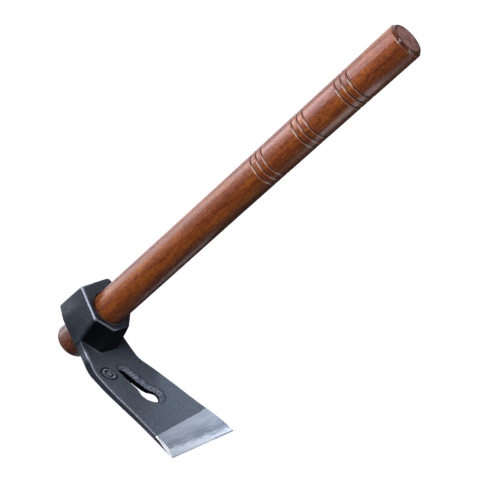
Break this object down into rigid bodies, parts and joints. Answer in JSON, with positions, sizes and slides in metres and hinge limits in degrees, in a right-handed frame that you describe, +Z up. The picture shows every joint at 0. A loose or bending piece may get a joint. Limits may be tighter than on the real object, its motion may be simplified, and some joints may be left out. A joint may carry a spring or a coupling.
{
  "type": "hand adze",
  "caption": "Short-handled adze with a forged collar head, keyhole slot for pulling nails, ground edge and turned wooden handle.",
  "frame": {"origin": "centre of the footprint of the tool lying on its side, on the surface it lies on", "axes": "+X along the handle towards the grip, -Y along the blade towards the cutting edge, +Z up across the blade's width"},
  "size_m": [0.408, 0.166, 0.084],
  "materials": {
    "forged_steel": "oil-blackened forging, satin, worn bright along its edges",
    "ground_steel": "freshly ground, with fine streaks along the edge",
    "varnished_wood": "red-brown hardwood under gloss varnish"
  },
  "bodies": {
    "root": {"head_forging": "forged_steel", "steel_bit": "ground_steel", "handle": "varnished_wood"}
  },
  "joints": []
}
